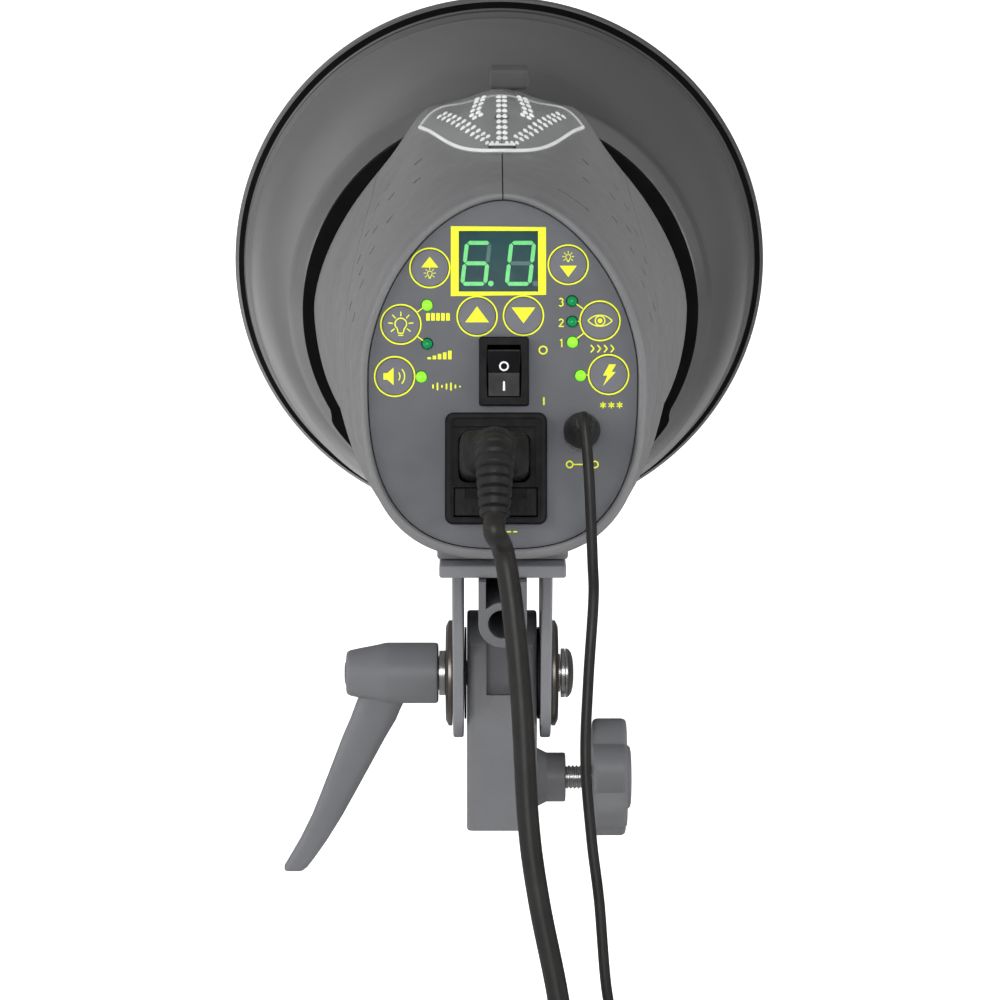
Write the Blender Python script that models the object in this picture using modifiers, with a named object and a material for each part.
"""Studio monolight: flash head with dish reflector, tilting yoke and stand receiver.

World frame: +X to the right seen from behind the head, +Y the way the light
goes, +Z up.  The origin is the centre of the blind end of the stand socket, on
the stand's axis.  Lengths are in millimetres, turned to metres by MM.

The receiver, its knob and the cords are modelled in the world frame.  The head
is modelled about the tilt pivot (head frame) and tilted by TILT_DEG.  The
control panel is modelled in its own plane (panel frame: x right, y up the
panel, z out of it) and slanted in the head by PANEL_SLANT_DEG.
"""
import math
from typing import NamedTuple

import bmesh
import bpy
import numpy as np
from mathutils import Matrix, Vector
from mathutils.bvhtree import BVHTree

MM = 0.001
SIDES = {"left": -1, "right": 1}


class Rect(NamedTuple):
    """A rectangle in the panel plane, placed by its centre."""
    x: float
    y: float
    width: float
    height: float


# ------------------------------------------------------- shared dimensions
TILT_DEG = 13.3                   # head angle at rest, front end up
PIVOT_Z = 10.0                    # tilt pivot above the socket's end face
AXIS_Z = 96.7                     # optical axis above the pivot, head frame
PANEL_SLANT_DEG = 20.0            # panel leans forward at its top
PANEL_Y, PANEL_Z = -54.6, 110.2   # panel frame's origin in the head frame

# yoke and the things fastened to it
ARM_IN, ARM_OUT = 12.4, 15.8      # faces of each arm, from the centre plane
SADDLE_Z0, SADDLE_Z1 = 45.5, 49.5
YOKE_SCREW_Y = {"rear": -34.0, "front": 30.0}
YOKE_SCREW_HOLE_R = 2.3

# stand receiver
RECV_HALF_W, RECV_HALF_D = 11.3, 15.0
BOSS_Z = -24.0                    # axis of the clamp screw
SCREW_HOLE_R = 4.2

# body shell
RIM_HALF_W, RIM_HALF_H = 43.5, 56.0
PANEL_EXPONENTS = (1.80, 2.75)    # upper and lower halves of the panel's outline
SHELL_FRONT = 127.7
WALL = 2.4
SHELL_POINTS = 40                 # points round each ring of the shell
LATCH_X = 2.8

# ------------------------------------------------------------------- scene
for old_object in list(bpy.data.objects):
    bpy.data.objects.remove(old_object, do_unlink=True)

PARTS = bpy.data.collections.new("monolight_strobe")
bpy.context.scene.collection.children.link(PARTS)

MATERIALS = {  # base colour, roughness, metallic
    "body_grey": ((0.150, 0.152, 0.162), 0.55, 0.0),
    "panel_grey": ((0.140, 0.146, 0.165), 0.50, 0.0),
    "cast_grey": ((0.135, 0.140, 0.150), 0.60, 0.0),
    "black_plastic": ((0.006, 0.006, 0.007), 0.45, 0.0),
    "key_grey": ((0.150, 0.155, 0.172), 0.50, 0.0),
    "display_green": ((0.010, 0.060, 0.050), 0.15, 0.0),
    "washer_steel": ((0.42, 0.38, 0.33), 0.30, 1.0),
    "bright_steel": ((0.62, 0.62, 0.62), 0.22, 1.0),
    "brass": ((0.55, 0.42, 0.20), 0.30, 1.0),
    "reflector_metal": ((0.20, 0.20, 0.21), 0.32, 1.0),
    "cord_rubber": ((0.020, 0.018, 0.017), 0.50, 0.0),
    "clear_plastic": ((0.80, 0.82, 0.82), 0.08, 0.0),
    "glass": ((0.85, 0.87, 0.88), 0.05, 0.0),
    "ceramic": ((0.80, 0.79, 0.75), 0.60, 0.0),
    "board_green": ((0.02, 0.16, 0.07), 0.45, 0.0),
    "capacitor_blue": ((0.02, 0.05, 0.16), 0.35, 0.0),
}
TRANSMISSION = {"glass": 0.9, "clear_plastic": 0.9}


def material(name):
    mat = bpy.data.materials.get(name)
    if mat is None:
        colour, roughness, metallic = MATERIALS[name]
        mat = bpy.data.materials.new(name)
        mat.use_nodes = True
        inputs = mat.node_tree.nodes["Principled BSDF"].inputs
        inputs["Base Color"].default_value = (*colour, 1.0)
        inputs["Roughness"].default_value = roughness
        inputs["Metallic"].default_value = metallic
        if name in TRANSMISSION:
            inputs["Transmission Weight"].default_value = TRANSMISSION[name]
    return mat


def empty(name, location, rotation_x_deg, parent=None):
    ob = bpy.data.objects.new(name, None)
    ob.empty_display_size = 0.02
    ob.location = Vector(location) * MM
    ob.rotation_euler = (math.radians(rotation_x_deg), 0.0, 0.0)
    ob.parent = parent
    PARTS.objects.link(ob)
    return ob


HEAD = empty("head_frame", (0, 0, PIVOT_Z), TILT_DEG)
PANEL = empty("panel_frame", (0, PANEL_Y, PANEL_Z), 90.0 - PANEL_SLANT_DEG, HEAD)


# ------------------------------------------------------------ mesh helpers
def clean(mesh, merge=1e-6):
    bm = bmesh.new()
    bm.from_mesh(mesh)
    bmesh.ops.remove_doubles(bm, verts=bm.verts, dist=merge)
    bmesh.ops.dissolve_degenerate(bm, edges=bm.edges, dist=merge)
    bmesh.ops.recalc_face_normals(bm, faces=bm.faces)
    bm.to_mesh(mesh)
    bm.free()


def add(name, data):
    ob = bpy.data.objects.new(name, data)
    PARTS.objects.link(ob)
    return ob


def bake(ob):
    """The object's evaluated shape as a plain mesh object of the same name."""
    bpy.context.view_layer.update()
    graph = bpy.context.evaluated_depsgraph_get()
    mesh = bpy.data.meshes.new_from_object(ob.evaluated_get(graph))
    clean(mesh)
    if ob.type == "MESH":
        ob.modifiers.clear()
        ob.data = mesh
        return ob
    name = ob.name
    bpy.data.objects.remove(ob, do_unlink=True)
    return add(name, mesh)


def boolean(ob, tool, operation):
    """Apply the tool to the object and remove the tool."""
    mod = ob.modifiers.new("bool", "BOOLEAN")
    mod.operation = operation
    mod.solver = "EXACT"
    mod.object = tool
    bake(ob)
    bpy.data.objects.remove(tool, do_unlink=True)


def cut(ob, tool):
    boolean(ob, tool, "DIFFERENCE")


def join(ob, tool):
    boolean(ob, tool, "UNION")


def keep(ob, tool):
    boolean(ob, tool, "INTERSECT")


def soften(ob, width):
    """Bevel the sharp edges."""
    mod = ob.modifiers.new("round", "BEVEL")
    mod.width = width * MM
    mod.segments = 1
    mod.limit_method = "ANGLE"
    bake(ob)


def finish(ob, mat, parent=None, origin=(0, 0, 0)):
    """Material, smooth shading, origin moved to the given point, parent frame."""
    ob.data.materials.clear()
    ob.data.materials.append(material(mat))
    ob.data.shade_smooth()
    ob.data.set_sharp_from_angle(angle=math.radians(32.0))
    offset = Vector(origin) * MM
    ob.data.transform(Matrix.Translation(-offset))
    ob.location = offset
    ob.parent = parent


# Each matrix lays local +Z along the named axis.
CYCLE_TO_X = Matrix(((0, 0, 1, 0), (1, 0, 0, 0), (0, 1, 0, 0), (0, 0, 0, 1)))
AXES = {
    "Z": Matrix.Identity(4),
    "X": CYCLE_TO_X,
    "Y": Matrix(((0, 1, 0, 0), (0, 0, 1, 0), (1, 0, 0, 0), (0, 0, 0, 1))),
}
PLANES = {  # matrix from the XY plane, index of the normal axis
    "XY": (Matrix.Identity(4), 2),
    "YZ": (CYCLE_TO_X, 0),
    "XZ": (Matrix(((1, 0, 0, 0), (0, 0, -1, 0), (0, 1, 0, 0), (0, 0, 0, 1))), 1),
}


def turned(name, profile, axis="Z", centre=(0, 0, 0), closed=False, steps=24):
    """Revolve (radius, height) points about an axis through centre."""
    mesh = bpy.data.meshes.new(name)
    verts = [(radius * MM, 0.0, height * MM) for radius, height in profile]
    edges = [(i, i + 1) for i in range(len(verts) - 1)]
    if closed:
        edges.append((len(verts) - 1, 0))
    mesh.from_pydata(verts, edges, [])
    ob = add(name, mesh)
    mod = ob.modifiers.new("turn", "SCREW")
    mod.axis = "Z"
    mod.angle = math.tau
    mod.steps = steps
    mod.render_steps = steps
    mod.use_merge_vertices = True
    mod.merge_threshold = 1e-5
    bake(ob)
    ob.data.transform(Matrix.Translation(Vector(centre) * MM) @ AXES[axis])
    return ob


def rod(name, r, h0, h1, axis="Z", centre=(0, 0, 0), steps=24, chamfer=0.0):
    if chamfer:
        profile = [(0, h1), (r - chamfer, h1), (r, h1 - chamfer),
                   (r, h0 + chamfer), (r - chamfer, h0), (0, h0)]
    else:
        profile = [(0, h1), (r, h1), (r, h0), (0, h0)]
    return turned(name, profile, axis, centre, steps=steps)


def washer(name, bore_r, r, h0, h1, centre=(0, 0, 0), steps=24):
    """A flat ring about the X axis."""
    profile = [(bore_r, h1), (r, h1), (r, h0), (bore_r, h0)]
    return turned(name, profile, "X", centre, closed=True, steps=steps)


def plate(name, outlines, lo, hi, plane="XY"):
    """A flat outline with holes (later outlines) extruded from lo to hi."""
    curve = bpy.data.curves.new(name, "CURVE")
    curve.dimensions = "2D"
    curve.fill_mode = "BOTH"
    curve.extrude = 0.5 * (hi - lo) * MM
    curve.resolution_u = 1
    for points in outlines:
        spline = curve.splines.new("POLY")
        spline.points.add(len(points) - 1)
        for point, (a, b) in zip(spline.points, points):
            point.co = (a * MM, b * MM, 0.0, 1.0)
        spline.use_cyclic_u = True
    ob = bake(add(name, curve))
    matrix, normal = PLANES[plane]
    shift = Vector((0, 0, 0))
    shift[normal] = 0.5 * (lo + hi) * MM
    ob.data.transform(Matrix.Translation(shift) @ matrix)
    return ob


def hose(name, points, radius, radii=None, sides=2):
    """A round cable or wire; radii, where given, are one per point."""
    curve = bpy.data.curves.new(name, "CURVE")
    curve.dimensions = "3D"
    curve.bevel_depth = radius * MM
    curve.bevel_resolution = sides
    curve.use_fill_caps = True
    curve.resolution_u = 1
    spline = curve.splines.new("POLY")
    spline.points.add(len(points) - 1)
    for i, point in enumerate(points):
        spline.points[i].co = (*(Vector(point) * MM), 1.0)
        spline.points[i].radius = 1.0 if radii is None else radii[i] / radius
    return bake(add(name, curve))


def block(name, x_range, y_range, z_range, bevel=0.0):
    lo, hi = (Vector(corner) for corner in zip(x_range, y_range, z_range))
    size = hi - lo
    middle = (hi + lo) * 0.5
    bm = bmesh.new()
    bmesh.ops.create_cube(bm, size=1.0)
    for vert in bm.verts:
        vert.co = Vector([middle[i] + vert.co[i] * size[i] for i in range(3)]) * MM
    mesh = bpy.data.meshes.new(name)
    bm.to_mesh(mesh)
    bm.free()
    ob = add(name, mesh)
    if bevel:
        soften(ob, bevel)
    else:
        clean(mesh)
    return ob


def loft(name, rings, closed=False):
    """Skin a list of point rings; end caps, or closed on itself."""
    n = len(rings[0])
    count = len(rings)
    verts = [tuple(c * MM for c in point) for ring in rings for point in ring]
    faces = []
    for j in range(count if closed else count - 1):
        a, b = j * n, ((j + 1) % count) * n
        for i in range(n):
            k = (i + 1) % n
            faces.append((a + i, a + k, b + k, b + i))
    if not closed:
        faces.append(tuple(range(n)))
        faces.append(tuple(range((count - 1) * n, count * n)))
    mesh = bpy.data.meshes.new(name)
    mesh.from_pydata(verts, [], faces)
    clean(mesh)
    return add(name, mesh)


# ------------------------------------------------- ranges, outlines, frames
def span(middle, half):
    return middle - half, middle + half


def mirrored(side, near, far):
    """The range from near to far, on the side given by its sign."""
    return sorted((side * near, side * far))


def circle(x, y, r, n=20):
    return [(x + r * math.cos(math.tau * i / n), y + r * math.sin(math.tau * i / n))
            for i in range(n)]


def arc(r, degrees, y=0.0):
    """Points at the given angles round (0, y)."""
    return [(r * math.cos(math.radians(a)), y + r * math.sin(math.radians(a)))
            for a in degrees]


def rounded(rect, grow, corner_r, n=3):
    """Rounded rectangle; grow is added to the full width and height."""
    x, y, width, height = rect
    points = []
    for sign_x, sign_y, start in ((1, 1, 0), (-1, 1, 90), (-1, -1, 180), (1, -1, 270)):
        for i in range(n + 1):
            a = math.radians(start + 90.0 * i / n)
            points.append((x + sign_x * ((width + grow) / 2 - corner_r) + corner_r * math.cos(a),
                           y + sign_y * ((height + grow) / 2 - corner_r) + corner_r * math.sin(a)))
    return points


def egg(half_w, up, down, exponent_up, exponent_down, n):
    """Egg outline: a superellipse with its own upper and lower halves."""
    points = []
    for i in range(n):
        t = math.tau * i / n
        c, s = math.cos(t), math.sin(t)
        exponent, height = (exponent_up, up) if s >= 0 else (exponent_down, down)
        points.append((math.copysign(abs(c) ** (2 / exponent), c) * half_w,
                       math.copysign(abs(s) ** (2 / exponent), s) * height))
    return points


def plug_ring(z, half_w, half_h, exponent, x=0, y=0):
    return [(x + a, y + b, z)
            for a, b in egg(half_w, half_h, half_h, exponent, exponent, 20)]


def panel_to_head(x, y, z):
    slant = math.radians(PANEL_SLANT_DEG)
    s, c = math.sin(slant), math.cos(slant)
    return (x, PANEL_Y + y * s - z * c, PANEL_Z + y * c + z * s)


def panel_to_world(*point):
    x, y, z = panel_to_head(*point)
    tilt = math.radians(TILT_DEG)
    s, c = math.sin(tilt), math.cos(tilt)
    return Vector((x, y * c - z * s, PIVOT_Z + y * s + z * c))


def monotone_cubic(xs, ys, x):
    """Monotone cubic through the points, so nothing overshoots."""
    xs = np.asarray(xs, float)
    ys = np.asarray(ys, float)
    step = np.diff(xs)
    slope = np.diff(ys) / step
    tangent = np.zeros(len(xs))
    tangent[0], tangent[-1] = slope[0], slope[-1]
    for i in range(1, len(xs) - 1):
        if slope[i - 1] * slope[i] > 0:
            w1, w2 = 2 * step[i] + step[i - 1], step[i] + 2 * step[i - 1]
            tangent[i] = (w1 + w2) / (w1 / slope[i - 1] + w2 / slope[i])
    i = int(np.clip(np.searchsorted(xs, x) - 1, 0, len(xs) - 2))
    t = (x - xs[i]) / step[i]
    return float((1 + 2 * t) * (1 - t) ** 2 * ys[i]
                 + t * (1 - t) ** 2 * step[i] * tangent[i]
                 + t * t * (3 - 2 * t) * ys[i + 1]
                 + t * t * (t - 1) * step[i] * tangent[i + 1])


# -------------------------------------------------------------- body shell
STATIONS = [
    # y of centre, slant deg, half width, z of centre, height up, height down,
    # exponent up, exponent down, shoulder height
    (PANEL_Y, PANEL_SLANT_DEG, RIM_HALF_W, PANEL_Z, RIM_HALF_H, RIM_HALF_H,
     *PANEL_EXPONENTS, 0.0),
    (5.0, 12.0, 51.5, 107.7, 61.9, 58.5, 1.80, 2.90, 0.8),
    (60.0, 4.0, 59.0, 105.2, 71.5, 55.7, 1.65, 2.50, 3.8),
    (100.0, 0.0, 65.0, 102.7, 74.0, 64.0, 1.62, 2.20, 7.0),
    (SHELL_FRONT, 0.0, 67.0, 98.7, 74.0, 67.0, 1.63, 2.00, 6.6),
]
SHOULDER_X, SHOULDER_WIDTH, SHOULDER_FADE = 26.0, 9.0, 30.0
OUTER_Y = (SHELL_FRONT, 115, 100, 82, 62, 40, 18, -4, -26, -44)
LIP = [  # panel z, inset: over the rim and down to the ledge behind the panel
    (-2.0, 0.0), (0.2, 0.6), (0.8, 1.6), (0.2, 2.7), (-3.8, 2.7), (-3.8, 3.3), (-5.8, 3.3),
]
INNER_Y = (-38, -14, 12, 38, 62, 84, 106, SHELL_FRONT)
SEAM = [  # y, z of the joint line between the rear casings and the front one
    (-120.3, 10.0), (-12.8, 103.5), (0.5, 116.6), (7.5, 121.3), (16.0, 126.5), (33.5, 135.6),
    (56.0, 143.0), (73.0, 147.6), (95.0, 150.5), (160.0, 153.0),
]
HALF_GAP = 0.15            # each casing stops this far from a joint
VENTS = [  # position along the head, angle above level on the side
    (38.5, 65.0), (20.8, 63.6), (52.0, 52.0), (33.0, 53.0), (10.0, 50.6), (44.5, 46.0),
    (20.0, 43.6), (30.0, 39.6), (3.0, 40.0), (18.0, 32.5), (3.5, 32.0), (-9.4, 30.3),
    (-2.7, 20.2), (-18.0, 20.0),
]
VENT_SIZE = (3.4, 1.5, -4.5)       # round the body, along it, floor from the skin
GROOVE = (-12.8, 67.5)             # one long shallow groove, right casing only
GROOVE_SIZE = (12.6, 1.9, -1.1)
SKIN_CENTRE_Z = 104.0              # rays that find the sides start at this height


def shell_row(y, inset, n):
    columns = list(zip(*STATIONS))
    slant, half_w, centre_z, up, down, exponent_up, exponent_down, shoulder = (
        monotone_cubic(columns[0], column, y) for column in columns[1:])
    s, c = math.sin(math.radians(slant)), math.cos(math.radians(slant))
    row = []
    for x, q in egg(half_w - inset, up - inset, down - inset, exponent_up, exponent_down, n):
        z = centre_z + q * c
        if q > 0:
            ridge = math.exp(-((abs(x) - SHOULDER_X) / SHOULDER_WIDTH) ** 2)
            z += shoulder * ridge * min(1.0, q / SHOULDER_FADE)
        row.append((x, y + q * s, z))
    return row


def lip_row(z, inset):
    half_h = RIM_HALF_H - inset
    return [panel_to_head(x, y, z) for x, y in
            egg(RIM_HALF_W - inset, half_h, half_h, *PANEL_EXPONENTS, SHELL_POINTS)]


def whole_shell(name):
    rows = [shell_row(y, 0.0, SHELL_POINTS) for y in OUTER_Y]
    rows += [lip_row(z, inset) for z, inset in LIP]
    rows += [shell_row(y, WALL, SHELL_POINTS) for y in INNER_Y]
    return loft(name, rows, closed=True)


def seam_block(above):
    """A big block, above or below, that ends just short of the curved seam."""
    ys, zs = zip(*SEAM)
    sign = 1.0 if above else -1.0
    edge = []
    for y in [ys[0], *np.arange(-100.0, 156.0, 10.0), ys[-1]]:
        z = monotone_cubic(ys, zs, y)
        slope = monotone_cubic(ys, zs, y + 0.5) - monotone_cubic(ys, zs, y - 0.5)
        length = math.hypot(slope, 1.0)
        edge.append((y - sign * HALF_GAP * slope / length, z + sign * HALF_GAP / length))
    far_z = 330.0 if above else -130.0
    return plate("keeper", [edge + [(edge[-1][0], far_z), (edge[0][0], far_z)]],
                 -200.0, 200.0, "YZ")


def outer_tree():
    """The outer skin, finely divided, for finding points on it."""
    n = 96
    rings = [shell_row(y, 0.0, n) for y in range(-50, 128, 3)]
    verts = [Vector(point) * MM for ring in rings for point in ring]
    polys = []
    for j in range(len(rings) - 1):
        for i in range(n):
            k = (i + 1) % n
            polys.append((j * n + i, j * n + k, (j + 1) * n + k, (j + 1) * n + i))
    return BVHTree.FromPolygons(verts, polys)


SKIN = outer_tree()


def surface_z(x, y):
    hit = SKIN.ray_cast(Vector((x, y, 260.0)) * MM, Vector((0, 0, -1)))[0]
    return hit.z / MM


def surface_side(y, angle_deg, side):
    """Point on the skin and its outward normal."""
    a = math.radians(angle_deg)
    direction = Vector((side * math.cos(a), 0.0, math.sin(a)))
    start = Vector((0, y, SKIN_CENTRE_Z)) * MM
    hit, normal, _, _ = SKIN.ray_cast(start, direction)
    return hit / MM, -normal


def slit_frame(y, angle_deg, side):
    """A frame on the skin: first axis round the body, second along it, third out."""
    point, normal = surface_side(y, angle_deg, side)
    next_point, _ = surface_side(y, angle_deg + 2.0, side)
    around = (next_point - point).normalized()
    along = normal.cross(around).normalized()
    out = around.cross(along).normalized()
    axes = Matrix((around, along, out)).transposed().to_4x4()
    return Matrix.Translation(point * MM) @ axes


def vent_cutter(side):
    """Slits that run round the body, square to the skin."""
    slits = [(*place, *VENT_SIZE) for place in VENTS]
    if side > 0:
        slits.append((*GROOVE, *GROOVE_SIZE))
    bm = bmesh.new()
    for y, angle, around, along, floor in slits:
        frame = slit_frame(y, angle, side)
        for vert in bmesh.ops.create_cube(bm, size=1.0)["verts"]:
            z = 4.5 if vert.co.z > 0 else floor
            vert.co = frame @ (Vector((vert.co.x * around, vert.co.y * along, z)) * MM)
    mesh = bpy.data.meshes.new("cutter")
    bm.to_mesh(mesh)
    bm.free()
    return add("cutter", mesh)


def rear_casing(label, side):
    shell = whole_shell("shell_" + label)
    keep(shell, seam_block(above=True))
    keep(shell, block("keeper", mirrored(side, HALF_GAP, 90.0), (-120, 200), (0, 240)))
    cut(shell, vent_cutter(side))
    cut(shell, block("cutter", span(LATCH_X, 3.4), (112.0, 124.0), (160.0, 190.0)))
    finish(shell, "body_grey", HEAD)


def front_housing():
    """Casing below the seam, with the flat seat for the yoke."""
    housing = whole_shell("front_housing")
    keep(housing, seam_block(above=False))
    join(housing, block("seat", span(0, 20.2), (-46.0, 43.0), (49.8, 58.0)))
    for y in YOKE_SCREW_Y.values():
        cut(housing, rod("cutter", YOKE_SCREW_HOLE_R, 45.0, 56.5, "Z", (0, y, 0), 12))
    finish(housing, "body_grey", HEAD)


# -------------------------------------------------- front end and its latch
RING_R, RING_BORE = 71.2, 56.0
RING_Y0, RING_Y1 = 128.0, 138.8
LOBE_ARCS = ((210.0, 242.0), (298.0, 330.0))   # degrees, low on either side
LOBE_HEIGHT, LOBE_RAMP_DEG = 2.1, 4.0
FLASH_R = 28.0                                 # radius of the tube's half circle


def mount_ring():
    """Annulus with two thicker lobes."""
    n = 60
    points = []
    for i in range(n):
        t = 360.0 * i / n
        r = RING_R
        for start, stop in LOBE_ARCS:
            if start <= t <= stop:
                r += LOBE_HEIGHT * min(1.0, min(t - start, stop - t) / LOBE_RAMP_DEG)
        a = math.radians(t)
        points.append((r * math.cos(a), AXIS_Z + r * math.sin(a)))
    ring = plate("mount_ring", [points, circle(0, AXIS_Z, RING_BORE, 36)],
                 RING_Y0, RING_Y1, "XZ")
    notch_z = (AXIS_Z + 60.0, AXIS_Z + 80)
    cut(ring, block("cutter", span(LATCH_X, 3.0), (120, 140), notch_z))
    finish(ring, "black_plastic", HEAD)


def front_plate():
    """Disc with a hole for the lamp socket and one for each flash tube leg."""
    outlines = [circle(0, AXIS_Z, 60.0, 32), circle(0, AXIS_Z, 16.4, 20),
                circle(-FLASH_R, AXIS_Z, 5.2, 10), circle(FLASH_R, AXIS_Z, 5.2, 10)]
    finish(plate("front_plate", outlines, 124.6, 127.4, "XZ"), "bright_steel", HEAD)


def release_latch():
    """Thumb pad, stem down through the casings and bolt into the mount ring."""
    latch = block("release_latch", span(LATCH_X, 6.8), (108.6, 125.4), (178.6, 186.0), 1.0)
    join(latch, block("stem", span(LATCH_X, 2.6), (117.6, 123.6), (161.0, 180.0)))
    join(latch, block("bolt", span(LATCH_X, 2.0), (120.0, 138.6), (160.6, 164.6)))
    finish(latch, "black_plastic", HEAD, (LATCH_X, 117.0, 182.0))


# ------------------------------------------------------------- slave sensor
LENS_REAR, LENS_FRONT = 13.0, 100.0
LENS_HALF, LENS_CORNER = 28.0, 73.0      # half width, and the y where it occurs
LENS_CENTRE_Y = 62.0
LENS_LIFT, LENS_WALL, LENS_HEIGHT = 0.6, 1.4, 3.6
LENS_LEVELS = [0.04, 0.4, 0.65, 0.85, 0.985]   # ring sizes as parts of the outline
SENSOR_Y = 50.0


def lens_outline(n):
    """Leaf outline: a long rear parabola and a short front one."""
    rear = (LENS_CORNER - LENS_REAR) / LENS_HALF ** 2
    front = (LENS_FRONT - LENS_CORNER) / LENS_HALF ** 2
    half = n // 2
    xs = [LENS_HALF * math.cos(math.pi * i / half) for i in range(half)]
    return ([(-x, LENS_REAR + rear * x * x) for x in xs]
            + [(x, LENS_FRONT - front * x * x) for x in xs])


def lens_ring(level, under):
    fall = 1.0 - level * level
    dome = LENS_HEIGHT * fall ** 0.6
    if under:
        rise = max(0.0, dome - LENS_WALL)
    else:
        rise = dome + LENS_WALL * (0.45 + 0.55 * math.sqrt(fall))
    row = []
    for edge_x, edge_y in lens_outline(32):
        x = edge_x * level
        y = LENS_CENTRE_Y + (edge_y - LENS_CENTRE_Y) * level
        row.append((x, y, surface_z(x, y) + LENS_LIFT + rise))
    return row


def slave_lens():
    rings = [lens_ring(level, False) for level in LENS_LEVELS]
    rings += [lens_ring(level, True) for level in reversed(LENS_LEVELS)]
    finish(loft("slave_lens", rings), "clear_plastic", HEAD)


def slave_sensor():
    z = surface_z(0.0, SENSOR_Y)
    profile = [(0, z + 2.1), (1.7, z + 1.9), (2.4, z + 1.4), (2.4, z + 0.5), (0, z + 0.5)]
    finish(turned("slave_sensor", profile, centre=(0, SENSOR_Y, 0), steps=16),
           "black_plastic", HEAD)


# --------------------------------------------------------------- rear panel
PANEL_HALF_W, PANEL_HALF_H = 40.5, 53.0
PANEL_TOP, PANEL_BACK = -1.0, -3.5
KEY_R, KEY_HOLE_R = 5.65, 5.95
KEY_TOP = -0.75
KEYS = {
    "key_lamp_up": (-22.1, 32.2),
    "key_lamp_down": (19.75, 33.2),
    "key_lamp_mode": (-30.8, 14.9),
    "key_power_up": (-7.8, 17.4),
    "key_power_down": (6.2, 17.6),
    "key_slave": (29.3, 16.0),
    "key_audio": (-32.6, -1.0),
    "key_test": (31.8, -0.4),
}
LEDS = [(-22.9, 20.9), (-22.8, 9.0), (-24.6, -1.0), (20.9, 22.1),
        (20.9, 15.8), (21.0, 9.6), (23.4, -0.6)]
DISPLAY = Rect(-1.3, 34.3, 24.6, 19.0)
ROCKER = Rect(0.3, 0.4, 15.0, 21.0)
INLET = Rect(-2.1, -29.0, 30.6, 33.8)
PLUG = Rect(-2.6, -25.6, 21.0, 14.6)
DRAWER = Rect(-2.2, -39.2, 24.6, 8.4)
JACK = (23.6, -18.0)
BOARD_OUTLINE = [  # x, y; notched from below for the rocker switch
    (-34, -8), (-12.5, -8), (-12.5, 12.4), (13, 12.4), (13, -8), (35, -8),
    (35, 14), (25, 36), (12, 45), (-13, 45), (-25, 36), (-35, 14),
]


def rear_panel():
    outlines = [
        egg(PANEL_HALF_W, PANEL_HALF_H, PANEL_HALF_H, *PANEL_EXPONENTS, 48),
        rounded(DISPLAY, 0.6, 0.5, 1),
        rounded(ROCKER, -0.8, 0.5, 1),
        rounded(INLET, -1.6, 2.0, 2),
        circle(*JACK, 4.4, 16),
    ]
    outlines += [circle(x, y, KEY_HOLE_R, 14) for x, y in KEYS.values()]
    outlines += [circle(x, y, 1.8, 8) for x, y in LEDS]
    finish(plate("rear_panel", outlines, PANEL_BACK, PANEL_TOP), "panel_grey", PANEL)


def panel_key(name, x, y):
    """Round key with a flange behind the panel and a stem."""
    profile = [(0, KEY_TOP), (KEY_R, KEY_TOP), (KEY_R, -3.9), (6.15, -3.9),
               (6.15, -5.0), (1.6, -5.0), (1.6, -8.8), (0, -8.8)]
    finish(turned(name, profile, centre=(x, y, 0), steps=14), "key_grey", PANEL,
           (x, y, KEY_TOP))


def control_board():
    """Board behind the panel, with the indicator lamps on it."""
    board = plate("control_board", [BOARD_OUTLINE], -12.2, -10.6)
    led_profile = [(0, -0.55), (1.0, -0.75), (1.45, -1.3), (1.45, -11.0), (0, -11.0)]
    for x, y in LEDS:
        join(board, turned("led", led_profile, centre=(x, y, 0), steps=8))
    finish(board, "board_green", PANEL)


def display_module():
    finish(block("display_module", span(DISPLAY.x, DISPLAY.width / 2),
                 span(DISPLAY.y, DISPLAY.height / 2), (-10.2, -1.3)),
           "display_green", PANEL)


def rocker_frame():
    frame = plate("rocker_frame", [rounded(ROCKER, 0, 0.8, 2)], -0.7, 1.0)
    join(frame, plate("body", [rounded(ROCKER, -1.5, 0.5, 1)], -18.0, 0.0))
    cut(frame, block("cutter", span(ROCKER.x, 5.3), span(ROCKER.y, 8.3), (-13.0, 3.0)))
    finish(frame, "black_plastic", PANEL)


def power_rocker():
    pivot = (ROCKER.x, ROCKER.y, -3.5)
    profile = [  # y from the pivot, z from the panel frame
        (-7.3, 1.3), (-3.5, 0.62), (0, 0.1), (3.5, 0.62), (7.3, 1.3), (7.1, -2.5),
        (4, -7.0), (-4, -7.0), (-7.1, -2.5),
    ]
    rocker = plate("power_rocker", [[(y, z - pivot[2]) for y, z in profile]], -5.0, 5.0, "YZ")
    rocker.data.transform(Matrix.Translation(Vector(pivot) * MM)
                          @ Matrix.Rotation(math.radians(9.0), 4, "X"))
    finish(rocker, "black_plastic", PANEL, pivot)


# ------------------------------------------------- mains inlet, plug and cord
PINS = ((-7.0, -1.6), (7.0, -1.6), (0.0, 2.2))     # from the plug's centre
PIN_HALF_W, PIN_HALF_H = 1.0, 2.0
SOCKET_PLAY = 0.35                                 # round each pin, in the plug
DRAWER_PLAY = 0.3
BOOT_START_Z, BOOT_BEND_R, BOOT_BEND_DEG = 20.0, 11.0, 82.0
BOOT_RADII = [6.0, 6.0, 5.9, 5.7, 5.5, 5.3, 5.1, 4.7, 4.3]
PLUG_RINGS = [  # panel z, half width, half height, exponent
    (-12.0, 10.0, 6.8, 5.0), (-11.4, 10.5, 7.3, 5.0), (8.0, 10.5, 7.3, 5.0),
    (13.5, 10.0, 7.1, 4.0), (17.5, 8.4, 6.6, 2.6), (20.0, 6.6, 6.2, 2.0),
    (22.0, 6.2, 6.2, 2.0),
]
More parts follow.
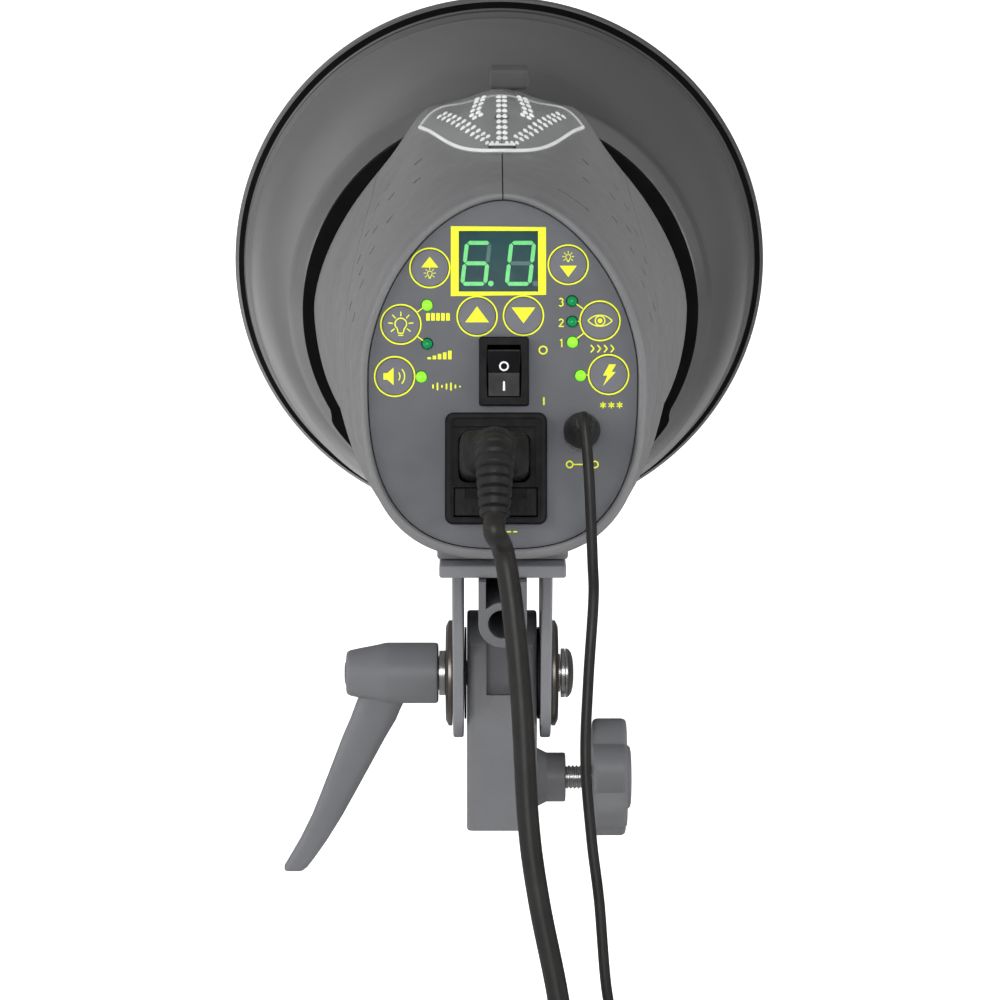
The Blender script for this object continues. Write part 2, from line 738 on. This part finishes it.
WALL_PLUG_RINGS = [  # distance from the cord's end, half width, half height, exponent
    (0.4, 4.4, 4.4, 2.0), (14.0, 6.0, 5.6, 2.0), (20.0, 10.5, 8.2, 3.0),
    (36.0, 12.0, 9.0, 4.0), (40.0, 12.0, 9.0, 4.0),
]
MAINS_HANG = [  # world points below the boot, top to bottom
    (-0.2, -112.5, 52.0), (2.4, -112, 37), (5.2, -112, 8), (7.2, -112, -27),
    (10.3, -112, -50), (16, -112, -79), (18.6, -112.6, -104),
]


def pin_block(name, pin, play, z_range):
    return block(name, span(PLUG.x + pin[0], PIN_HALF_W + play),
                 span(PLUG.y + pin[1], PIN_HALF_H + play), z_range)


def mains_inlet():
    inlet = plate("mains_inlet", [rounded(INLET, 0, 2.5)], -0.7, 0.8)
    join(inlet, plate("body", [rounded(INLET, -2.4, 1.8, 2)], -24.0, 0.0))
    cut(inlet, plate("cutter", [rounded(PLUG, 0.6, 2.6, 2)], -14.0, 3.0))
    cut(inlet, block("cutter", span(DRAWER.x, DRAWER.width / 2 + DRAWER_PLAY),
                     span(DRAWER.y, DRAWER.height / 2 + DRAWER_PLAY), (-20.0, 3.0)))
    for pin in PINS:
        join(inlet, pin_block("pin", pin, 0.0, (-15.0, -3.0)))
    finish(inlet, "black_plastic", PANEL)


def fuse_drawer():
    x, y, width, height = DRAWER
    face_z = 0.9
    drawer = block("fuse_drawer", span(x, width / 2), span(y, height / 2), (-18.0, face_z))
    # bay for the fuse, then two finger notches in the top edge of the face
    cut(drawer, block("cutter", span(x, 10.6), (y - 2.9, y + 6.0), (-15.0, -8.8)))
    for notch_x in (-6.2, 6.2):
        cut(drawer, block("cutter", span(x + notch_x, 3.0), (y + 1.4, y + 6.0), (-0.6, 3.0)))
    finish(drawer, "black_plastic", PANEL, (x, y, face_z))


def fuse():
    finish(rod("fuse", 2.55, *span(DRAWER.x, 10.0), "X", (0, DRAWER.y + 0.2, -11.9), 16),
           "glass", PANEL)


def boot_path():
    """Panel-frame points of the boot: an arc that bends down, then straight."""
    points = []
    for i in range(7):
        a = math.radians(BOOT_BEND_DEG) * i / 6
        points.append((PLUG.x, PLUG.y - BOOT_BEND_R * (1 - math.cos(a)),
                       BOOT_START_Z + BOOT_BEND_R * math.sin(a)))
    last, previous = Vector(points[-1]), Vector(points[-2])
    direction = (last - previous).normalized()
    return points + [tuple(last + direction * 6.0), tuple(last + direction * 12.0)]


def mains_plug():
    plug = loft("mains_plug", [plug_ring(*ring, PLUG.x, PLUG.y) for ring in PLUG_RINGS])
    for pin in PINS:
        cut(plug, pin_block("cutter", pin, SOCKET_PLAY, (-16.0, -2.4)))
    join(plug, hose("boot", boot_path(), 5.0, BOOT_RADII))
    finish(plug, "cord_rubber", PANEL)


def smooth_path(points, n):
    """Catmull-Rom points through the given ones, evenly in parameter."""
    points = [points[0] * 2 - points[1], *points, points[-1] * 2 - points[-2]]
    path = []
    spans = len(points) - 3
    for i in range(n + 1):
        s = min(spans - 1e-9, spans * i / n)
        k = int(s)
        t = s - k
        p0, p1, p2, p3 = points[k:k + 4]
        path.append(0.5 * ((2 * p1) + (p2 - p0) * t
                           + (2 * p0 - 5 * p1 + 4 * p2 - p3) * t * t
                           + (3 * p1 - p0 - 3 * p2 + p3) * t ** 3))
    return path


def lay_at_end(ob, path):
    """Lay an object modelled along +Z on the last point of a path, pointing on."""
    direction = (path[-1] - path[-2]).normalized()
    turn = direction.to_track_quat("Z", "Y").to_matrix().to_4x4()
    ob.data.transform(Matrix.Translation(path[-1] * MM) @ turn)


def mains_cord():
    """Cord from the boot, hanging down to its wall plug."""
    before, end = (panel_to_world(*point) for point in boot_path()[-2:])
    direction = (end - before).normalized()
    path = [end + direction * 1.0, end + direction * 6.0]
    path += [Vector(point) for point in MAINS_HANG]
    finish(hose("mains_cord", smooth_path(path, 16), 3.2, sides=1), "cord_rubber")

    plug = loft("mains_wall_plug", [plug_ring(*ring) for ring in WALL_PLUG_RINGS])
    for x in (-6.35, 6.35):
        join(plug, block("blade", span(x, 0.75), span(2.0, 3.1), (38.0, 57.0)))
    join(plug, rod("pin", 2.35, 38.0, 60.0, "Z", (0, -5.4, 0), 12))
    lay_at_end(plug, path)
    finish(plug, "cord_rubber")


# ---------------------------------------------- flash sync jack, plug and lead
JACK_PROFILE = [(2.2, 1.4), (4.9, 1.4), (5.5, 0.8), (5.5, -0.7), (4.0, -0.7),
                (4.0, -12.0), (2.2, -12.0)]
SYNC_PLUG_PROFILE = [(0, 20.0), (2.6, 20.0), (3.0, 15.0), (4.6, 8.0), (5.5, 4.0),
                     (5.3, 1.8), (1.75, 1.8), (1.75, -9.0), (0.9, -10.5), (0, -10.5)]
FAR_PLUG_PROFILE = [(0, 30.0), (0.9, 30.0), (1.75, 28.6), (1.75, 15.0), (4.2, 15.0),
                    (4.4, 6.0), (2.6, 0.3), (0, 0.3)]
SYNC_HANG = [  # world points below the plug, top to bottom
    (24.9, -107.5, 74.0), (26.0, -106.5, 48.8), (26.3, -105, 37), (24.8, -105, 13.6),
    (24, -105, -9.8), (25.8, -105, -33), (28, -105, -51), (30.7, -104.5, -80),
    (36.5, -102, -96), (44.5, -98, -108),
]


def sync_parts():
    centre = (*JACK, 0)
    finish(turned("sync_jack", JACK_PROFILE, centre=centre, closed=True, steps=18),
           "black_plastic", PANEL)
    finish(turned("sync_plug", SYNC_PLUG_PROFILE, centre=centre, steps=16),
           "cord_rubber", PANEL)
    path = [panel_to_world(*JACK, z) for z in (21.2, 25.5)]
    path += [Vector(point) for point in SYNC_HANG]
    finish(hose("sync_cord", smooth_path(path, 18), 1.6, sides=0), "cord_rubber")
    far_plug = turned("sync_far_plug", FAR_PLUG_PROFILE, steps=16)
    lay_at_end(far_plug, path)
    finish(far_plug, "cord_rubber")


# ------------------------------------------------------------------- optics
OPTICAL_CENTRE = (0, 0, AXIS_Z)
REFLECTOR_BACK_Y = 139.3
# Optics profiles are (radius, y).
REFLECTOR_OUTER = [  # rim first
    (103.2, 246.4), (104.6, 244.4), (104.6, 243.4), (103.9, 241.2), (100.6, 237.6),
    (100.0, 236.0), (99.7, 231.5), (98.2, 229.6), (97.8, 224.0), (96.9, 220.0),
    (91.6, 190.0), (84.0, 162.0), (77.0, 145.4), (70.6, REFLECTOR_BACK_Y),
    (55.9, REFLECTOR_BACK_Y),
]
REFLECTOR_INNER = [  # back to the rim
    (55.9, 140.6), (70.0, 140.6), (75.9, 146.4), (82.9, 163.0), (90.4, 190.6),
    (95.4, 219.6), (96.2, 229.8), (98.0, 235.8), (101.1, 240.8), (101.4, 246.4),
]
COLLAR_BACK_Y = 131.0
COLLAR = [(61.0, 142.6), (61.0, 141.0), (55.4, 141.0), (55.4, COLLAR_BACK_Y),
          (51.0, COLLAR_BACK_Y), (51.0, 142.6)]
LAMP = [(0, 192.0), (10.0, 190.2), (16.6, 184.6), (19.6, 176.0), (19.4, 166.0),
        (16.4, 156.0), (13.6, 148.0), (13.0, 138.0), (13.0, 108.0), (4.0, 105.0),
        (0, 105.0)]
FLASH_Y = 152.0                       # plane of the tube's half circle
FLASH_LEG_Y = (112.0, 146.0, 149.5)   # points along each leg, rear first


def reflector():
    dish = turned("reflector", REFLECTOR_OUTER + REFLECTOR_INNER, "Y", OPTICAL_CENTRE,
                  closed=True, steps=44)
    finish(dish, "reflector_metal", HEAD, (0, REFLECTOR_BACK_Y, AXIS_Z))
    collar = turned("reflector_collar", COLLAR, "Y", OPTICAL_CENTRE, closed=True, steps=32)
    finish(collar, "reflector_metal", HEAD, (0, COLLAR_BACK_Y, AXIS_Z))


def modelling_lamp():
    finish(turned("modelling_lamp", LAMP, "Y", OPTICAL_CENTRE, steps=16), "glass", HEAD)


def lamp_socket():
    socket = rod("lamp_socket", 16.0, 98.0, 130.0, "Y", OPTICAL_CENTRE)
    cut(socket, rod("cutter", 13.4, 103.5, 133.0, "Y", OPTICAL_CENTRE, 28))
    finish(socket, "ceramic", HEAD)


def flash_tube():
    """Half circle below the axis, with a straight leg back from each end."""
    path = [(-FLASH_R, y, AXIS_Z) for y in FLASH_LEG_Y]
    path += [(x, FLASH_Y, z)
             for x, z in arc(FLASH_R, [180 + 180.0 * i / 16 for i in range(17)], AXIS_Z)]
    path += [(FLASH_R, y, AXIS_Z) for y in reversed(FLASH_LEG_Y)]
    finish(hose("flash_tube", path, 4.2, sides=1), "glass", HEAD)


# ---------------------------------------------------------- inside the head
def capacitor(label, side):
    finish(rod("capacitor_" + label, 17.5, 0.0, 72.0, "Y", (side * 21.0, 0, 80.0),
               chamfer=1.5), "capacitor_blue", HEAD)


def power_board():
    finish(block("power_board", span(0, 34), (-2, 92), (124.0, 125.6)), "board_green", HEAD)


# ------------------------------------- yoke and pivot hardware, head frame
ARM_R = 21.0                # rounded lower end of each arm
ARM_TOP_Z = SADDLE_Z1 - 0.5
SADDLE_HALF_W = 19.5
YOKE_BORE_R = 4.3
HOLDER_R, HOLDER_BORE_R, HOLDER_CROWN_R = 7.45, 4.5, 6.9
HOLDER_Z = 31.7             # axis of the umbrella tube
HOLDER_TOP_Z = SADDLE_Z0 - 0.25
HOLDER_WEB = 2.3            # thickness of the two webs up to the saddle
YOKE_SCREW_PROFILE = [(0, 56.0), (1.9, 56.0), (1.9, 45.2), (3.7, 45.2), (3.7, 43.6),
                      (2.6, 42.4), (0, 42.4)]
YOKE_WASHER_PROFILE = [(4.5, 16.1), (17.2, 16.1), (17.2, 17.3), (15.4, 18.2), (4.5, 18.2)]
BOLT_PROFILE = [(0, 23.4), (4.4, 23.2), (6.8, 22.5), (8.0, 21.4), (8.0, 20.7),
                (4.0, 20.7), (4.0, -25.0), (0, -25.0)]


def yoke():
    body = block("yoke", span(0, SADDLE_HALF_W), (-52.0, 42.0), (SADDLE_Z0, SADDLE_Z1))
    arm_outline = [(-33.0, ARM_TOP_Z), (-30.0, 30.0), (-20.9, 4.0)]
    arm_outline += arc(ARM_R, range(-168, -11, 13))
    arm_outline += [(20.9, 4.0), (28.0, 30.0), (31.0, ARM_TOP_Z)]
    for side in SIDES.values():
        join(body, plate("arm", [arm_outline], *mirrored(side, ARM_IN, ARM_OUT), "YZ"))
    cut(body, rod("cutter", YOKE_BORE_R, -30, 30, "X", steps=16))
    for y in YOKE_SCREW_Y.values():
        cut(body, rod("cutter", YOKE_SCREW_HOLE_R, 40.0, 55.0, "Z", (0, y, 0), 12))
    finish(body, "cast_grey", HEAD)


def umbrella_holder():
    """Tube under the saddle, hung from it by two webs."""
    walls = [(-HOLDER_R, HOLDER_TOP_Z), (-HOLDER_R, HOLDER_Z)]
    walls += arc(HOLDER_R, range(195, 346, 15), HOLDER_Z)
    walls += [(HOLDER_R, HOLDER_Z), (HOLDER_R, HOLDER_TOP_Z),
              (HOLDER_R - HOLDER_WEB, HOLDER_TOP_Z)]
    walls += arc(HOLDER_CROWN_R, range(42, 139, 16), HOLDER_Z)
    walls += [(-HOLDER_R + HOLDER_WEB, HOLDER_TOP_Z)]
    finish(plate("umbrella_holder", [walls, circle(0, HOLDER_Z, HOLDER_BORE_R)],
                 -55.0, 50.0, "XZ"), "cast_grey", HEAD)


def yoke_screw(label, y):
    finish(turned("yoke_screw_" + label, YOKE_SCREW_PROFILE, centre=(0, y, 0), steps=16),
           "bright_steel", HEAD)


def yoke_washer(label, side):
    profile = [(r, side * x) for r, x in YOKE_WASHER_PROFILE]
    finish(turned("yoke_washer_" + label, profile, "X", closed=True), "washer_steel", HEAD)


def pivot_bolt():
    """Bolt with a hexagon recess, and the two washers under its head."""
    finish(washer("bolt_washer", YOKE_BORE_R, 6.2, 18.4, 19.0, steps=20),
           "bright_steel", HEAD)
    split = washer("spring_washer", YOKE_BORE_R, 8.0, 19.2, 20.5)
    cut(split, block("cutter", (18.0, 22.0), (1.0, 12.0), span(0, 0.5)))
    finish(split, "washer_steel", HEAD)
    bolt = turned("pivot_bolt", BOLT_PROFILE, "X", steps=20)
    cut(bolt, plate("cutter", [circle(0, 0, 2.9, 6)], 21.4, 26.0, "YZ"))
    finish(bolt, "bright_steel", HEAD)


# ------------------------------------------------ adjustable clamping lever
INSERT_PROFILE = [(4.3, -18.4), (7.3, -18.4), (7.3, -20.4), (5.5, -20.4), (5.5, -37.0),
                  (2.3, -37.0), (2.3, -27.5), (4.3, -26.5)]
HUB_PROFILE = [(0, -20.7), (9.4, -20.7), (9.9, -21.3), (9.9, -37.0), (9.2, -40.0),
               (7.4, -49.6), (6.6, -50.7), (0, -50.7)]
HANDLE_RINGS = [  # four corners of each section, hub end first
    [(-31.0, -4.7, -9.0), (-31.0, 4.7, -9.0), (-46.6, 4.4, -6.0), (-46.6, -4.4, -6.0)],
    [(-34.5, -4.5, -15.5), (-34.5, 4.5, -15.5), (-49.6, 4.2, -15.5), (-49.6, -4.2, -15.5)],
    [(-64.7, -3.4, -67.7), (-64.7, 3.4, -67.7), (-72.7, 3.2, -67.7), (-72.7, -3.2, -67.7)],
]
HUB_BORES = [  # radius, x from, x to, steps: insert, screw, screw head
    (6.0, -37.6, -15.0, 18), (2.4, -45.0, -30.0, 12), (4.6, -60.0, -40.0, 16),
]
LEVER_SCREW_PROFILE = [(0, -30.0), (1.95, -30.0), (1.95, -48.8), (4.1, -48.8),
                       (4.1, -50.6), (3.4, -51.2), (0, -51.2)]
SPRING_X, SPRING_LENGTH, SPRING_R, SPRING_TURNS = -40.5, 7.9, 3.1, 4


def lever_handle():
    hub = turned("lever_handle", HUB_PROFILE, "X")
    blade = loft("blade", HANDLE_RINGS)
    soften(blade, 1.2)
    join(hub, blade)
    for radius, x0, x1, steps in HUB_BORES:
        cut(hub, rod("cutter", radius, x0, x1, "X", steps=steps))
    finish(hub, "cast_grey", HEAD)


def lever_hardware():
    """Threaded insert, retaining screw and the spring round it."""
    finish(turned("lever_insert", INSERT_PROFILE, "X", closed=True, steps=18),
           "bright_steel", HEAD)
    finish(turned("lever_screw", LEVER_SCREW_PROFILE, "X", steps=20), "bright_steel", HEAD)
    coil = []
    for i in range(33):
        a = math.tau * SPRING_TURNS * i / 32
        coil.append((SPRING_X - SPRING_LENGTH * i / 32,
                     SPRING_R * math.cos(a), SPRING_R * math.sin(a)))
    finish(hose("lever_spring", coil, 0.4, sides=0), "bright_steel", HEAD)


# ----------------------------------------------- stand receiver, world frame
RECV_BOTTOM, RECV_TOP_ARC_Z = -40.0, 15.5
SOCKET_R = 8.15
PIVOT_BORE_R = 4.3
BOSS_R, BOSS_X, BOSS_CHAMFER = 8.0, 20.7, 0.6
BOSS_ROOT_R = 9.8
DISC_GAP = 0.25             # from a friction disc to the receiver and to the arm
BOSS_CENTRE = (0, 0, BOSS_Z)
PIVOT_CENTRE = (0, 0, PIVOT_Z)
KNOB_X0, KNOB_X1 = 29.3, 40.5
KNOB_R, KNOB_VALLEY_R = 19.75, 16.0
KNOB_LOBES, KNOB_PHASE_DEG = 6, -16.5
KNOB_EDGE, KNOB_FACE_SCALE = 1.2, 0.94   # softened edge: depth, and size of the faces
CAP_PROFILE = [(0, 42.0), (9.6, 42.0), (10.5, 41.2), (10.5, 38.0), (0, 38.0)]


def receiver():
    arch = [(-RECV_HALF_D, RECV_BOTTOM), (-RECV_HALF_D, RECV_TOP_ARC_Z)]
    arch += arc(RECV_HALF_D, range(168, 11, -12), RECV_TOP_ARC_Z)
    arch += [(RECV_HALF_D, RECV_TOP_ARC_Z), (RECV_HALF_D, RECV_BOTTOM)]
    body = plate("receiver", [arch], -RECV_HALF_W, RECV_HALF_W, "YZ")
    # round the upright corners
    footprint = Rect(0, 0, 2 * RECV_HALF_W, 2 * RECV_HALF_D)
    keep(body, plate("keeper", [rounded(footprint, 0.02, 3.0)], -60, 60))
    boss = [(0, BOSS_X), (BOSS_R - BOSS_CHAMFER, BOSS_X), (BOSS_R, BOSS_X - BOSS_CHAMFER),
            (BOSS_R, 14.6), (BOSS_ROOT_R, 11.0), (BOSS_ROOT_R, 9.0), (0, 9.0)]
    join(body, turned("boss", boss, "X", BOSS_CENTRE))
    cut(body, rod("cutter", SOCKET_R, RECV_BOTTOM - 5.0, 0.0, steps=28))
    cut(body, rod("cutter", SCREW_HOLE_R, 4.0, 30.0, "X", BOSS_CENTRE, 16))
    cut(body, rod("cutter", PIVOT_BORE_R, -20.0, 20.0, "X", PIVOT_CENTRE, 16))
    # recess in the rear face, open at the top
    cut(body, block("cutter", span(0, 5.0), (-20.0, -10.0), (3.6, 40.0)))
    finish(body, "cast_grey")


def friction_disc(label, side):
    lo, hi = mirrored(side, RECV_HALF_W + DISC_GAP, ARM_IN - DISC_GAP)
    finish(washer("friction_disc_" + label, 4.6, 15.0, lo, hi, PIVOT_CENTRE),
           "black_plastic")


def clamp_screw():
    """Screw along the boss, with a brass pad at its inner end."""
    finish(rod("clamp_pad", 3.8, 8.4, 10.4, "X", BOSS_CENTRE, 20, chamfer=0.3), "brass",
           origin=(9.4, 0, BOSS_Z))
    finish(rod("clamp_screw", 3.85, 10.7, 33.2, "X", BOSS_CENTRE, 18, chamfer=0.5),
           "bright_steel", origin=(20.0, 0, BOSS_Z))


def star_knob():
    """Round lobes with shallow valleys between, softened faces and a cap."""
    n = 42
    rings = []
    for x, scale in ((KNOB_X0, KNOB_FACE_SCALE), (KNOB_X0 + KNOB_EDGE, 1.0),
                     (KNOB_X1 - KNOB_EDGE, 1.0), (KNOB_X1, KNOB_FACE_SCALE)):
        ring = []
        for i in range(n):
            t = math.tau * i / n
            wave = 0.5 + 0.5 * math.cos(KNOB_LOBES * (t - math.radians(KNOB_PHASE_DEG)))
            r = (KNOB_VALLEY_R + (KNOB_R - KNOB_VALLEY_R) * wave ** 0.6) * scale
            ring.append((x, r * math.cos(t), BOSS_Z + r * math.sin(t)))
        rings.append(ring)
    knob = loft("star_knob", rings)
    join(knob, turned("cap", CAP_PROFILE, "X", BOSS_CENTRE))
    cut(knob, rod("cutter", SCREW_HOLE_R, 20.0, 33.8, "X", BOSS_CENTRE, 16))
    finish(knob, "cast_grey", origin=(KNOB_X0, 0, BOSS_Z))


# -------------------------------------------------------------------- build
for key_name, key_place in KEYS.items():
    panel_key(key_name, *key_place)
for screw_label, screw_y in YOKE_SCREW_Y.items():
    yoke_screw(screw_label, screw_y)
for build_pair in (rear_casing, capacitor, yoke_washer, friction_disc):
    for side_label, side_sign in SIDES.items():
        build_pair(side_label, side_sign)
for build in (
        front_housing, mount_ring, front_plate, release_latch, slave_lens, slave_sensor,
        rear_panel, control_board, display_module, rocker_frame, power_rocker,
        mains_inlet, fuse_drawer, fuse, mains_plug, mains_cord, sync_parts,
        reflector, modelling_lamp, lamp_socket, flash_tube, power_board,
        yoke, umbrella_holder, pivot_bolt, lever_handle, lever_hardware,
        receiver, clamp_screw, star_knob):
    build()
